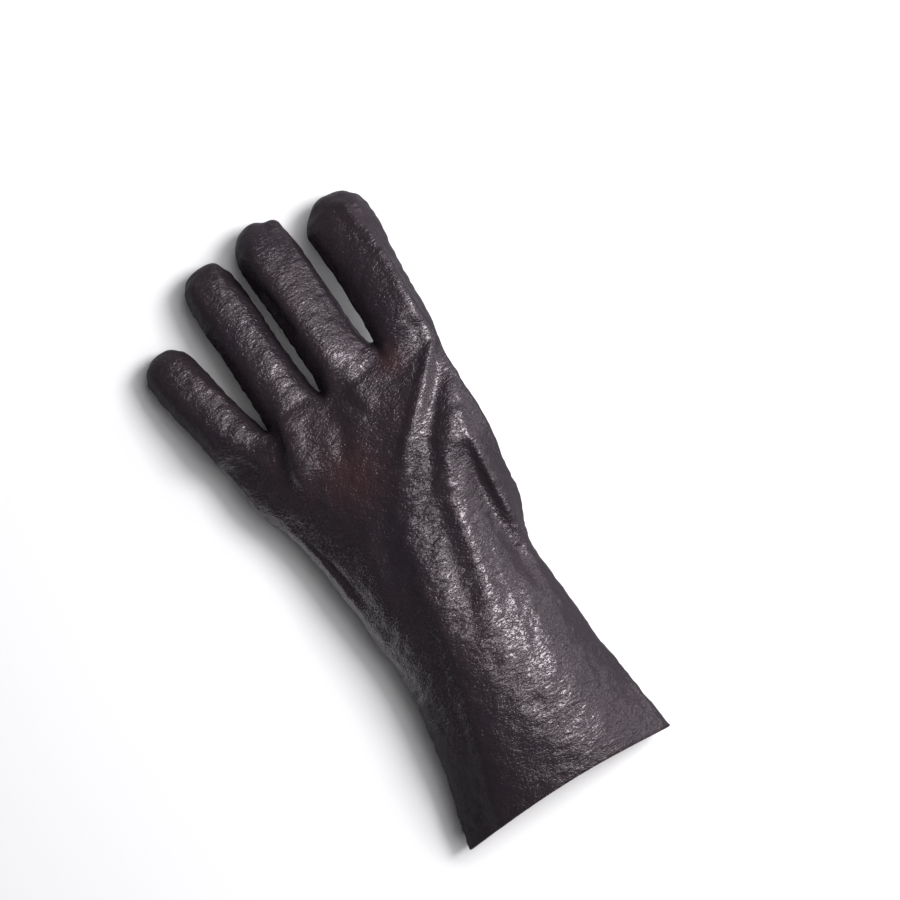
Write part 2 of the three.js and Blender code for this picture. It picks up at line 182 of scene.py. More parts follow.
def addFinger(base, sizes, root, digit):
    reach, width, depth, splay, bend, knob = sizes
    splay = math.radians(splay)
    ahead = Vector((math.sin(splay), math.cos(splay), 0))
    aside = Vector((ahead.y, -ahead.x, 0))

    def axisAt(at):
        p = root + ahead * (reach * at)
        p.z = lerp(root.z, depth * hand["tipRest"], min(at, 1) ** bend)
        return p

    last = base
    for station, (at, wide, deep) in enumerate(fingerRings):
        heading = (axisAt(at + 0.02) - axisAt(at - 0.02)).normalized()
        up = aside.cross(heading)
        halfWide = width * wide * lerp(1, knob, smoothStep(at, 0.5, 0.8)) * ringSwell / 2
        halfDeep = depth * deep * ringSwell / 2
        ring = []
        for i in range(len(base)):
            turn = math.pi - i * math.pi / 4
            p = axisAt(at) + aside * halfWide * math.cos(turn) + up * halfDeep * math.sin(turn)
            ring.append(addPoint(*p))
        addBand(last, ring, station, digit)
        last = ring
    end = addPoint(*axisAt(hand["tipAt"]))
    tipStation = len(fingerRings)
    for i in range(0, len(last), 2):
        addFace(
            [last[i], last[i + 1], last[(i + 2) % len(last)], end],
            [(i, tipStation), (i + 1, tipStation), (i + 2, tipStation), (i + 1, tipStation + 1)],
            digit,
        )


def buildCage():
    rings = [bodyRing(section) for section in bodySections]
    low, half, high = [rings[j] for j in thumbSections]
    outer, mid, inner = underOf(8), underOf(7), underOf(6)
    for j in range(1, len(rings)):
        addBand(rings[j - 1], rings[j], j - 1, "body")
    block = {(j - 1) * ringPoints + i for j in thumbSections[1:] for i in (outer, mid)}
    for key in ("faces", "uvs"):
        cage[key] = [face for f, face in enumerate(cage[key]) if f not in block]
    thumbBase = [
        half[inner], high[inner], high[mid], high[outer],
        half[outer], low[outer], low[mid], low[inner],
    ]
    thumbRoot = cage["points"][half[mid]].copy()
    thumbRoot.z = hand["thumbDepth"] / 2
    thumbSizes = (
        hand["thumbReach"], hand["thumbWidth"], hand["thumbDepth"],
        hand["thumbSplay"], hand["thumbBend"], hand["thumbTip"],
    )
    addFinger(thumbBase, thumbSizes, thumbRoot, "thumb")

    roots = rings[-1]
    points = cage["points"]
    gaps = []
    for m, past in enumerate(gapPast):
        middle = (points[roots[topOf(2 * m + 2)]] + points[roots[underOf(2 * m + 2)]]) / 2
        gaps.append(addPoint(middle.x, hand["bodyLength"] * (1 + past), middle.z))
    for m, (name, sizes) in enumerate(fingerSizes.items()):
        a, b, c = 2 * m, 2 * m + 1, 2 * m + 2
        leftEdge = roots[0] if m == 0 else gaps[m - 1]
        rightEdge = roots[columnCount + 1] if m == len(gaps) else gaps[m]
        base = [
            leftEdge, roots[topOf(a)], roots[topOf(b)], roots[topOf(c)],
            rightEdge, roots[underOf(c)], roots[underOf(b)], roots[underOf(a)],
        ]
        root = (points[roots[topOf(b)]] + points[roots[underOf(b)]]) / 2
        addFinger(base, sizes, root, name)


def smoothedSkin():
    # the cage goes through a subdivision surface, and its UVs carry each point's column and ring
    used = sorted({i for face in cage["faces"] for i in face})
    renamed = {old: new for new, old in enumerate(used)}
    mesh = bpy.data.meshes.new("cage")
    faces = [[renamed[i] for i in face] for face in cage["faces"]]
    mesh.from_pydata([cage["points"][i] for i in used], [], faces)
    layer = mesh.uv_layers.new(name="place")
    layer.data.foreach_set("uv", np.array(cage["uvs"], float).ravel())
    holder = bpy.data.objects.new("cage", mesh)
    bpy.context.collection.objects.link(holder)
    smooth = holder.modifiers.new("smooth", "SUBSURF")
    smooth.levels = hand["smoothing"]
    smooth.uv_smooth = "NONE"
    smooth.use_limit_surface = True
    graph = bpy.context.evaluated_depsgraph_get()
    fine = bpy.data.meshes.new_from_object(holder.evaluated_get(graph))
    points = np.zeros(len(fine.vertices) * 3)
    fine.vertices.foreach_get("co", points)
    corners = np.zeros(len(fine.loops), int)
    fine.loops.foreach_get("vertex_index", corners)
    uvs = np.zeros(len(fine.loops) * 2)
    fine.uv_layers["place"].data.foreach_get("uv", uvs)
    place = np.zeros((len(fine.vertices), 2))
    place[corners] = uvs.reshape(-1, 2)
    bpy.data.objects.remove(holder)
    bpy.data.meshes.remove(mesh)
    bpy.data.meshes.remove(fine)
    digit = np.floor((place[:, 0] + 1) / digitStep).astype(int)
    return {
        "points": points.reshape(-1, 3),
        "faces": corners.reshape(-1, 4),
        "digit": digit,
        "around": place[:, 0] - digitStep * digit,
        "station": place[:, 1],
    }


def rimEdges(faces):
    # the directed edges that only one face uses, which is the hem
    edges = {}
    for face in faces:
        for i in range(4):
            edges[(face[i], face[(i + 1) % 4])] = True
    return [(a, b) for a, b in edges if (b, a) not in edges]


def normalsOf(points, faces, level):
    p = points[faces]
    across = np.cross(p[:, 2] - p[:, 0], p[:, 3] - p[:, 1])
    normals = np.zeros_like(points)
    for k in range(4):
        np.add.at(normals, faces[:, k], across)
    normals[level, 1] = 0  # the hem's own normals lie in its plane
    return normals / np.linalg.norm(normals, axis=1, keepdims=True)


# Folds drawn on the back: points of the fold's line in the hand frame, how wide it is and how high.
# A pair of widths is the one towards the little finger and the one towards the thumb.
# "crease" is pinched, all others are round; "lift" raises straight up and not along the skin.
backFolds = [
    # one long crest: the bone of the index finger, the back of the wrist, and the cuff's crest
    {
        "path": [(58, 214), (56.5, 207), (49.5, 199), (39, 188), (29.5, 179), (20, 170), (11, 160)],
        "wide": 3.2, "high": 2.5,
    },
    {"path": [(14, 166), (3, 147), (-3.5, 131), (-7, 106), (-11, 82)], "wide": (6, 8.5), "high": 1.5},
    {
        "path": [(-5, 112), (-10, 85), (-16, 58), (-24, 32), (-31, 8), (-38, -32)],
        "wide": (6, 19), "high": 2.9,
    },
    # furrows below the bone of the index finger
    {
        "path": [(54, 196), (45.5, 185), (36, 173), (28.5, 163), (22, 151)],
        "wide": (3.4, 5.5), "high": -1.7,
    },
    {"path": [(36, 204), (24, 194), (8, 182)], "wide": 7, "high": -1.0},
    # the wrist's long furrows and the bulges beside them
    {"path": [(24, 157), (17, 136), (12.5, 116), (6, 96), (-2, 76)], "wide": 4.4, "high": -0.5},
    {
        "path": [
            (51, 182), (45, 175), (35, 163), (29.5, 153), (24, 138), (22.5, 125), (20, 113),
            (17, 100), (12, 87), (6, 74),
        ],
        "wide": (5.6, 5.8), "high": 2.0,
    },
    {"path": [(49, 174), (44, 163), (41, 155)], "wide": 6, "high": 1.7, "lift": True},
    {
        "path": [(41, 151), (38.5, 139), (37, 124), (36.5, 108), (38.5, 84)],
        "wide": 3.8, "high": -2.8, "lift": True,
    },
    {
        "path": [(48, 166), (46, 152), (45.2, 141), (44.6, 130), (43.6, 112), (44, 86)],
        "wide": (2.8, 5), "high": 2.8, "lift": True,
    },
    # the top of the index finger's root
    {"path": [(54.5, 240), (54, 214)], "wide": 4, "high": 0.8, "lift": True},
    # dents and a low bulge in the cuff
    {"path": [(-33, 108), (-38, 78), (-44, 45)], "wide": 7, "high": -1.0},
    {"path": [(6, 44), (14, 32)], "wide": 8, "high": -0.7},
    {"path": [(8, 72), (20, 62)], "wide": 9, "high": 0.8},
    {"path": [(-14, 24), (2, 16)], "wide": 8, "high": -0.6},
    # the edge that is pressed flat beside the cuff's thumb side
    {"path": [(48.6, 52), (50.6, 20), (51.2, -10)], "wide": (1.2, 1.4), "high": 0.8},
    # the little-finger side
    {
        "path": [(-46.5, 164), (-42.5, 146), (-41, 128), (-39.5, 108)],
        "wide": (2.2, 2.0), "high": 2.2, "lift": True,
    },
    {"path": [(-43, 158), (-39, 140), (-34.5, 118)], "wide": 1.8, "high": -1.5, "shape": "crease"},
    {"path": [(-30, 112), (-23, 130), (-15, 150)], "wide": 6, "high": 0.8},
    {"path": [(-37, 110), (-31, 128), (-28, 150)], "wide": 6, "high": -0.8},
    # the bones of the other fingers, and creases across their roots
    {"path": [(-21, 214), (-24, 198), (-30, 177)], "wide": (3.5, 9), "high": 4.8},
    {"path": [(-49, 218), (-45, 206), (-38, 192)], "wide": (4, 8), "high": 1.8},
    {"path": [(13, 208), (15, 192)], "wide": (4, 6), "high": 1.4},
    {"path": [(-2, 206), (-3, 190), (-10, 176)], "wide": 4.5, "high": -1.3},
    {"path": [(-25, 211), (-14, 212.5), (-5, 211.5)], "wide": 1.8, "high": -1.1, "shape": "crease"},
    {"path": [(2, 206), (14, 207), (28, 211)], "wide": 1.9, "high": -1.3, "shape": "crease"},
    {"path": [(-58, 199), (-50, 198), (-43, 201)], "wide": 2.2, "high": -1.0, "shape": "crease"},
    {"path": [(34, 214), (44, 212), (54, 215)], "wide": 2.0, "high": -1.1, "shape": "crease"},
    # the raised side seams of the fingers, where they show from above
    {
        "path": [(46, 283), (53, 278.5), (55.6, 263), (56.4, 247), (56, 228), (56.4, 212)],
        "wide": (2.8, 1.5), "high": 1.9,
    },
    {"path": [(21.5, 290), (23.5, 286), (24.5, 255), (26.5, 225), (29, 214)], "wide": 1.6, "high": 1.1},
    {"path": [(-13, 283), (-8.5, 277), (-5, 262), (-4, 240), (-3, 220)], "wide": 1.5, "high": 1.0},
    {"path": [(-49, 256), (-44, 244), (-36, 222), (-31, 210)], "wide": 1.6, "high": 0.7},
    # the tucked flanks of the ring and middle fingertips
    {"path": [(-9.5, 284), (-5.5, 274), (-3.5, 262)], "wide": 2.6, "high": -2.6},
    {"path": [(0.5, 268), (1.5, 252), (3, 238)], "wide": 2.2, "high": -1.4},
]
palmFolds = [
    {"path": [(-34, 176), (-8, 166), (14, 152)], "wide": 7, "high": -2.6},
    {"path": [(-38, 156), (-16, 140), (-2, 124)], "wide": 7, "high": -2.4},
    {"path": [(-24, 124), (-27, 92)], "wide": 8, "high": 1.4},
    {"path": [(4, 126), (12, 148), (14, 180)], "wide": 6, "high": -1.6},
    {
        "path": [(-50, 206), (-20, 202), (10, 206), (40, 208)],
        "wide": 3, "high": -1.2, "shape": "crease",
    },
    {"path": [(-36, 100), (-10, 103), (20, 98)], "wide": 3, "high": -1.0, "shape": "crease"},
    {"path": [(-34, 92), (-8, 94), (24, 90)], "wide": 3, "high": -0.9, "shape": "crease"},
]

foldShape = {
    "facing": 1.4,  # how sharply a fold dies where the skin turns to the other side
    "turn": 4,  # mm across its line in which one width goes over into the other
    "pinch": 1.3,  # how steep a crease is at its line
    "fade": 5,  # a fold fades over one part in this many at each end
    "endHigh": 0.25,  # share of its height that is left at the very end
}

# small corners and lobes at the fingertips: place, radius, height
tipCorners = [
    ((22.5, 289.5), 3.4, 1.7),
    ((18, 293), 3.0, -0.7),
    ((-12, 287), 3.2, 1.4),
    ((-27, 284), 4.5, 0.7),
    ((34, 274), 6.0, 1.1),
    ((57.5, 278), 4.5, 0.9),
    ((45, 287), 4.0, 0.8),
    ((-62, 260), 4.5, 0.6),
]


def distanceTo(path, xy):
    # nearest distance to a line of points, how far along it that lies, and on which side
    nearest = np.full(len(xy), 1e9)
    run = np.zeros(len(xy))
    beside = np.zeros(len(xy))
    lengths = [math.dist(a, b) for a, b in zip(path, path[1:])]
    done = 0
    for (a, b), length in zip(zip(path, path[1:]), lengths):
        start, line = np.array(a, float), np.array(b, float) - np.array(a, float)
        share = np.clip(((xy - start) @ line) / (length * length), 0, 1)
        off = xy - start - share[:, None] * line
        away = np.linalg.norm(off, axis=1)
        closer = away < nearest
        nearest[closer] = away[closer]
        run[closer] = (done + share * length)[closer] / sum(lengths)
        beside[closer] = off[closer, 0]
        done += length
    return nearest, run, beside


def foldHeights(points, normals):
    shape = foldShape
    heights, lifts = np.zeros(len(points)), np.zeros(len(points))
    for folds, side in ((backFolds, 1), (palmFolds, -1)):
        facing = np.clip(side * normals[:, 2] * shape["facing"], 0, 1)
        for fold in folds:
            away, run, beside = distanceTo(fold["path"], points[:, :2])
            wide = fold["wide"]
            if isinstance(wide, tuple):
                wide = lerp(*wide, np.clip(beside / shape["turn"] + 0.5, 0, 1))
            away = away / wide
            pinched = fold.get("shape") == "crease"
            profile = np.exp(-shape["pinch"] * away if pinched else -away * away)
            ends = np.clip(np.minimum(run, 1 - run) * shape["fade"], 0, 1)
            rise = fold["high"] * profile * facing * lerp(shape["endHigh"], 1, ends)
            if fold.get("lift"):
                lifts += rise
            else:
                heights += rise
    for (x, y), radius, high in tipCorners:
        away = np.hypot(points[:, 0] - x, points[:, 1] - y) / radius
        heights += high * np.exp(-away * away)
    return heights, lifts


# What the dipping leaves on the whole skin: side seams of the knit liner under the coating,
# lumps, small wrinkles and one drip.
skinDetail = {
    "seamHigh": 0.5,
    "seamWide": 0.16,  # in columns
    "fingerSeam": 0.3,  # column of a finger's ring where its seam runs
    "fingerSeamEnd": 5.6,  # ring where it has died away
    "fingerSeamFades": (2, 1.5),  # how fast it comes at the root and goes at the tip, per ring
    "bodySeams": (0.25, 9.6),
    "bodySeamHigh": 0.8,  # shares of a finger seam's height and width
    "bodySeamWide": 0.7,
    "lumpSize": 21,
    "lumpHigh": 0.55,
    "rippleSize": 6,
    "rippleHigh": 0.6,
    "rippleSquash": 1.7,  # along the glove
    "rippleStart": (7, 3, 1),
    "dripAt": (-41.5, 80.5, 18),
    "dripHigh": 1.8,
    "dripWide": 2.1,
    "cleanHem": 6,  # the relief dies away over this much at the hem, so the cut edge stays clean
}

# A finger is flatter on top than its cage. Each shoulder: its place in columns from the finger's
# left side (2 is the top, 4 the right side), and how far it is raised.
shoulders = {
    "pinky": [(1.2, 1.1), (3.1, 1.0)],
    "ring": [(1.2, 1.4), (3.25, 1.2)],
    "middle": [(1.25, 4.2), (3.3, 0.2)],
    "index": [(1.1, 0.3), (2.85, 2.2)],
    "thumb": [(0.9, 0.6), (3.1, 0.6)],
}
shoulderShape = {
    "fullFrom": 1.2,  # in rings from the finger's root
    "endsAt": 6.2,
    "fade": 1.5,
    "wideInward": 0.9,  # in columns
    "wideOutward": 0.45,
}


def shoulderRise(skin):
    shape = shoulderShape
    rise = np.zeros(len(skin["points"]))
    along = np.clip(skin["station"] / shape["fullFrom"], 0, 1)
    along *= np.clip((shape["endsAt"] - skin["station"]) / shape["fade"], 0, 1)
    for name, pair in shoulders.items():
        here = skin["digit"] == digitNumber[name]
        for column, high in pair:
            outward = (skin["around"] - column) * (1 if column > 2 else -1)
            wide = np.where(outward < 0, shape["wideInward"], shape["wideOutward"])
            rise += here * high * along * np.exp(-((outward / wide) ** 2))
    return rise


def seamHeights(skin):
    d = skinDetail
    heights = np.zeros(len(skin["points"]))
    onFinger = skin["digit"] > 0
    comes, goes = d["fingerSeamFades"]
    fade = np.clip(skin["station"] * comes, 0, 1)
    fade *= np.clip((d["fingerSeamEnd"] - skin["station"]) * goes, 0, 1)
    away = (skin["around"] - d["fingerSeam"]) / d["seamWide"]
    heights += onFinger * fade * d["seamHigh"] * np.exp(-away * away)
    for column in d["bodySeams"]:
        away = (skin["around"] - column) / (d["seamWide"] * d["bodySeamWide"])
        heights += ~onFinger * d["seamHigh"] * d["bodySeamHigh"] * np.exp(-away * away)
    return heights


def reliefHeights(points):
    d = skinDetail
    heights = np.zeros(len(points))
    start = Vector(d["rippleStart"])
    for i, p in enumerate(points):
        lump = noise.noise(Vector(p) / d["lumpSize"])
        squashed = Vector((p[0], p[1] * d["rippleSquash"], p[2]))
        ripple = noise.noise(squashed / d["rippleSize"] + start)
        heights[i] = d["lumpHigh"] * lump + d["rippleHigh"] * ripple
    drip = np.linalg.norm(points - np.array(d["dripAt"], float), axis=1) / d["dripWide"]
    return heights + d["dripHigh"] * np.exp(-drip * drip)


def moldSkin():
    buildCage()
    skin = smoothedSkin()
    rim = rimEdges(skin["faces"])
    level = sorted({i for edge in rim for i in edge})
    points, faces = skin["points"], skin["faces"]
    normals = normalsOf(points, faces, level)
    # the glove's own box, before its folds, has its middle over the frame's origin
    middle = (points.min(0) + points.max(0)) / 2
    heights, lifts = foldHeights(points, normals)
    heights += seamHeights(skin) + reliefHeights(points)
    nearHem = np.clip(points[:, 1] / skinDetail["cleanHem"] + 1, 0, 1)
    points = points + normals * (heights * nearHem)[:, None]
    points[:, 2] += (lifts + shoulderRise(skin)) * nearHem
    points[:, 2] = np.maximum(points[:, 2], 0)
    skin["shift"] = np.array([middle[0], middle[1], 0])
    skin["points"] = points
    skin["normals"] = normalsOf(points, faces, level)
    skin["rim"] = rim
    return skin


def setInBy(skin, depth):
    points = skin["points"] - skin["normals"] * depth
    points[:, 2] = np.maximum(points[:, 2], depth)
    return points


def shellMesh(name, layers, faces, rim, shift, rimMaterial=0):
    # layer 0 faces out and layer 1 in; the other layers are rows of the rim from the outer to the
    # inner one, and strips across all of them close it
    count = len(layers[0])
    points = (np.vstack(layers) - shift) * mm
    outer = [tuple(face) for face in faces]
    inner = [tuple(int(i) + count for i in face[::-1]) for face in faces]
    strips = []
    order = [0] + list(range(2, len(layers))) + [1]
    for near, far in zip(order, order[1:]):
        for a, b in rim:
            strips.append((b + near * count, a + near * count, a + far * count, b + far * count))
    onRim = sorted({i for edge in rim for i in edge})
    keep = np.zeros(len(points), bool)
    keep[: 2 * count] = True
    for k in range(2, len(layers)):
        keep[np.array(onRim) + k * count] = True
    renamed = np.cumsum(keep) - 1
    mesh = bpy.data.meshes.new(name)
    allFaces = outer + inner + strips
    mesh.from_pydata(points[keep].tolist(), [], [[int(renamed[i]) for i in f] for f in allFaces])
    mesh.polygons.foreach_set("use_smooth", [True] * len(allFaces))
    mesh.polygons.foreach_set(
        "material_index", [0] * (len(outer) + len(inner)) + [rimMaterial] * len(strips)
    )
    mesh.update()
    piece = bpy.data.objects.new(name, mesh)
    bpy.context.collection.objects.link(piece)
    return piece


def addNode(tree, kind, values=None, **settings):
    node = tree.nodes.new(kind)
    for key, value in settings.items():
        setattr(node, key, value)
    for key, value in (values or {}).items():
        node.inputs[key].default_value = value
    return node


def link(tree, source, target):
    tree.links.new(source, target)


def mathNode(tree, operation, a, b=None, clamp=False):
    node = addNode(tree, "ShaderNodeMath", operation=operation, use_clamp=clamp)
    for socket, value in zip(node.inputs, (a, b)):
        if value is None:
            continue
        if isinstance(value, (int, float)):
            socket.default_value = value
        else:
            link(tree, value, socket)
    return node.outputs[0]


def newGroup(name, inputs, outputs):
    group = bpy.data.node_groups.new(name, "ShaderNodeTree")
    for label, kind, value in inputs:
        socket = group.interface.new_socket(name=label, in_out="INPUT", socket_type=kind)
        socket.default_value = value
    for label, kind in outputs:
        group.interface.new_socket(name=label, in_out="OUTPUT", socket_type=kind)
    return group, group.nodes.new("NodeGroupInput"), group.nodes.new("NodeGroupOutput")


def useGroup(tree, group, values):
    return addNode(tree, "ShaderNodeGroup", values, node_tree=group)


def newMaterial(name):
    material = bpy.data.materials.new(name)
    material.use_nodes = True
    tree = material.node_tree
    return material, tree, tree.nodes["Principled BSDF"]


# what every use of the grain shares; each material gives its own size and strengths
grainShape = {
    "fine": {"Detail": 1.6, "Roughness": 0.5, "Distortion": 0.6},
    "coarse": {"Detail": 1.0, "Roughness": 0.5, "Distortion": 0.4},
    "coarseScale": 0.28,
    "ridgeFall": -90.0,  # the further below 0, the thinner the ridges are
    "ridgeHigh": 0.3,
    "hollows": (0.62, 0.38),  # the noise's values where the hollows start and where they are full
}


def makePebbleGrain():
    # the crinkle of a dipped coat: wavy little ridges, a little longer round the glove than along it
    shape = grainShape
    group, given, out = newGroup(
        "pebbleGrain",
        [
            ("Size", "NodeSocketFloat", 0.003),
            ("Stretch", "NodeSocketFloat", 1.8),
            ("Ridges", "NodeSocketFloat", 0.5),
            ("Crumple", "NodeSocketFloat", 1.0),
        ],
        [("Height", "NodeSocketFloat"), ("Hollows", "NodeSocketFloat")],
    )
    place = addNode(group, "ShaderNodeTexCoord")
    spread = addNode(group, "ShaderNodeCombineXYZ", {"X": 1.0, "Z": 1.0})
    link(group, given.outputs["Stretch"], spread.inputs["Y"])
    stretched = addNode(group, "ShaderNodeVectorMath", operation="MULTIPLY")
    link(group, place.outputs["Object"], stretched.inputs[0])
    link(group, spread.outputs[0], stretched.inputs[1])
    scale = mathNode(group, "DIVIDE", 1.0, given.outputs["Size"])
    grain = addNode(group, "ShaderNodeTexNoise", shape["fine"])
    crumple = addNode(group, "ShaderNodeTexNoise", shape["coarse"])
    link(group, stretched.outputs[0], grain.inputs["Vector"])
    link(group, stretched.outputs[0], crumple.inputs["Vector"])
    link(group, scale, grain.inputs["Scale"])
    link(group, mathNode(group, "MULTIPLY", scale, shape["coarseScale"]), crumple.inputs["Scale"])
    # a ridge runs wherever the noise passes its middle value
    off = mathNode(group, "ABSOLUTE", mathNode(group, "SUBTRACT", grain.outputs[0], 0.5))
    fall = mathNode(group, "MULTIPLY", mathNode(group, "MULTIPLY", off, off), shape["ridgeFall"])
    ridgeHigh = mathNode(group, "MULTIPLY", given.outputs["Ridges"], shape["ridgeHigh"])
    ridge = mathNode(group, "MULTIPLY", mathNode(group, "EXPONENT", fall), ridgeHigh)
    coarse = mathNode(group, "MULTIPLY", crumple.outputs[0], given.outputs["Crumple"])
    height = mathNode(group, "ADD", mathNode(group, "ADD", grain.outputs[0], ridge), coarse)
    link(group, height, out.inputs["Height"])
    low = addNode(
        group, "ShaderNodeMapRange", {"From Min": shape["hollows"][0], "From Max": shape["hollows"][1]}
    )
    link(group, grain.outputs[0], low.inputs["Value"])
    link(group, low.outputs[0], out.inputs["Hollows"])
    return group


def makeUnevenTone():
    # slow change of a colour over a surface
    group, given, out = newGroup(
        "unevenTone",
        [
            ("Tone", "NodeSocketColor", (0.5, 0.5, 0.5, 1)),
            ("Other tone", "NodeSocketColor", (0.4, 0.4, 0.4, 1)),
            ("Size", "NodeSocketFloat", 0.03),
        ],
        [("Color", "NodeSocketColor")],
    )
    place = addNode(group, "ShaderNodeTexCoord")
    scale = mathNode(group, "DIVIDE", 1.0, given.outputs["Size"])
    cloud = addNode(group, "ShaderNodeTexNoise", {"Detail": 4.0, "Roughness": 0.6})
    link(group, place.outputs["Object"], cloud.inputs["Vector"])
    link(group, scale, cloud.inputs["Scale"])
    spread = addNode(group, "ShaderNodeMapRange", {"From Min": 0.35, "From Max": 0.65})
    link(group, cloud.outputs[0], spread.inputs["Value"])
    mix = addNode(group, "ShaderNodeMix", data_type="RGBA")
    link(group, spread.outputs[0], mix.inputs["Factor"])
    link(group, given.outputs["Tone"], mix.inputs[6])
    link(group, given.outputs["Other tone"], mix.inputs[7])
    link(group, mix.outputs[2], out.inputs["Color"])
    return group


pebbleGrain = makePebbleGrain()
unevenTone = makeUnevenTone()

# The black PVC coat
pvc = {
    "black": (0.0205, 0.0163, 0.0204, 1),
    "otherBlack": (0.0255, 0.0188, 0.0232, 1),
    "thinBrown": (0.052, 0.024, 0.025, 1),  # the knit shows warm where the coat is thin
    "thinSpots": [((-8, 172), 26), ((34, 206), 12), ((-38, 176), 16)],  # place, radius
    "thinHeight": 45,  # height of their middles above the ground
    "thinStrength": 0.55,
    "toneSize": 35,
    "roughness": (0.165, 0.25),
    "grainSize": 1.45,
    "grainStretch": 1.8,
    "grainDepth": 0.48,
    "ridges": 0.4,
    "crumple": 1.2,
    "ior": 1.5,
    "tint": (1.0, 0.91, 0.965, 1),
}


def thinCoat(tree, place, shift):
    # soft round places where the coat is thin, as one mask
    total = None
    for (x, y), radius in pvc["thinSpots"]:
        spot = addNode(
            tree, "ShaderNodeVectorMath",
            {1: ((x - shift[0]) * mm, (y - shift[1]) * mm, pvc["thinHeight"] * mm)},
            operation="DISTANCE",
        )
        link(tree, place, spot.inputs[0])
        near = addNode(
            tree, "ShaderNodeMapRange", {"From Min": radius * mm, "From Max": 0.0},
            interpolation_type="SMOOTHSTEP",
        )
        link(tree, spot.outputs["Value"], near.inputs["Value"])
        mask = near.outputs[0]
        total = mask if total is None else mathNode(tree, "ADD", total, mask, clamp=True)
    return mathNode(tree, "MULTIPLY", total, pvc["thinStrength"])


def makePvc(shift):
    material, tree, shader = newMaterial("blackPvc")
    place = addNode(tree, "ShaderNodeTexCoord").outputs["Object"]
    tone = useGroup(
        tree, unevenTone,
        {"Tone": pvc["black"], "Other tone": pvc["otherBlack"], "Size": pvc["toneSize"] * mm},
    )
    brown = addNode(tree, "ShaderNodeMix", {7: pvc["thinBrown"]}, data_type="RGBA")
    link(tree, thinCoat(tree, place, shift), brown.inputs["Factor"])
    link(tree, tone.outputs["Color"], brown.inputs[6])
    link(tree, brown.outputs[2], shader.inputs["Base Color"])
    grain = useGroup(
        tree, pebbleGrain,
        {
            "Size": pvc["grainSize"] * mm, "Stretch": pvc["grainStretch"],
            "Ridges": pvc["ridges"], "Crumple": pvc["crumple"],
        },
    )
    rough = addNode(
        tree, "ShaderNodeMapRange", {"To Min": pvc["roughness"][0], "To Max": pvc["roughness"][1]}
    )
    link(tree, grain.outputs["Hollows"], rough.inputs["Value"])
    link(tree, rough.outputs[0], shader.inputs["Roughness"])
    bump = addNode(tree, "ShaderNodeBump", {"Strength": 1.0, "Distance": pvc["grainDepth"] * mm})
    link(tree, grain.outputs["Height"], bump.inputs["Height"])
    link(tree, bump.outputs[0], shader.inputs["Normal"])
    shader.inputs["IOR"].default_value = pvc["ior"]
    shader.inputs["Specular Tint"].default_value = pvc["tint"]
    return material


# The cut through the coat at the hem
cutEdge = {
    "tone": {"Tone": (0.016, 0.013, 0.014, 1), "Other tone": (0.045, 0.032, 0.026, 1), "Size": 0.002},
    "grain": {"Size": 0.0009, "Stretch": 1.0, "Ridges": 0.0, "Crumple": 0.0},
    "bump": {"Strength": 0.6, "Distance": 0.00012},
    "roughness": 0.5,
}


def makeCutEdge():
    material, tree, shader = newMaterial("cutPvc")
    tone = useGroup(tree, unevenTone, cutEdge["tone"])
    link(tree, tone.outputs["Color"], shader.inputs["Base Color"])
    grain = useGroup(tree, pebbleGrain, cutEdge["grain"])
    bump = addNode(tree, "ShaderNodeBump", cutEdge["bump"])
    link(tree, grain.outputs["Height"], bump.inputs["Height"])
    link(tree, bump.outputs[0], shader.inputs["Normal"])
    shader.inputs["Roughness"].default_value = cutEdge["roughness"]
    return material


# The knit liner
knit = {
    "yarn": (0.36, 0.25, 0.17, 1),
    "shadeYarn": (0.24, 0.16, 0.105, 1),
    # painted shade: the dark colour painted into the hollows between the loops
    "paintedShadeBetweenLoops": (0.07, 0.045, 0.03, 1),
    "toneSize": 12,
    "waleWidth": 1.5,  # a wale is one column of loops, a course one row
    "courseHeight": 1.1,
    "slant": 1.1,  # courses by which a loop's leg climbs across half a wale
    "strandShare": 0.6,  # how much of the height is the strands, and not the wale itself
    "loopDepth": 0.35,
    "fuzz": {"Size": 0.0005, "Stretch": 1.0, "Ridges": 0.0, "Crumple": 0.0},
    "fuzzHigh": 0.25,
    "surface": {"Roughness": 0.9, "Sheen Weight": 0.3, "Sheen Roughness": 0.5},
    "wall": 0.9,
    "gap": 0.3,  # between the coat and the liner
    "inset": 0.4,  # how far the liner stands back from the hem
    "reach": 62,
    "girth": 2.15,  # round the cuff, in widths of it
}


